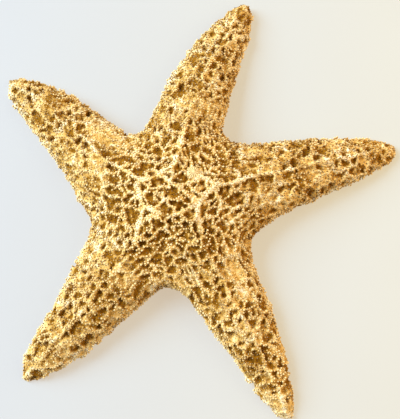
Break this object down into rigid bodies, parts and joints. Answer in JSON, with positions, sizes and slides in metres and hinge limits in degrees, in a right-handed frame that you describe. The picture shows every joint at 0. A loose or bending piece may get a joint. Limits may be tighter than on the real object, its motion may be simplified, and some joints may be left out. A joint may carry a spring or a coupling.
{
  "type": "dried starfish",
  "caption": "Dried thick-armed starfish, lying flat: a low dome with tapering arms, a pitted net of ridges on top and open grooves underneath.",
  "frame": {"origin": "on the floor, under the middle of the bounding box of the starfish, which lies on its flat underside", "axes": "+Z up, out of the upper side; +Y along the longer side of the outline; the picture's up is +Y and its right is +X"},
  "size_m": [0.1962, 0.2104, 0.0262],
  "materials": {
    "dried_skin": null
  },
  "bodies": {
    "root": {"starfish": "dried_skin"}
  },
  "joints": []
}
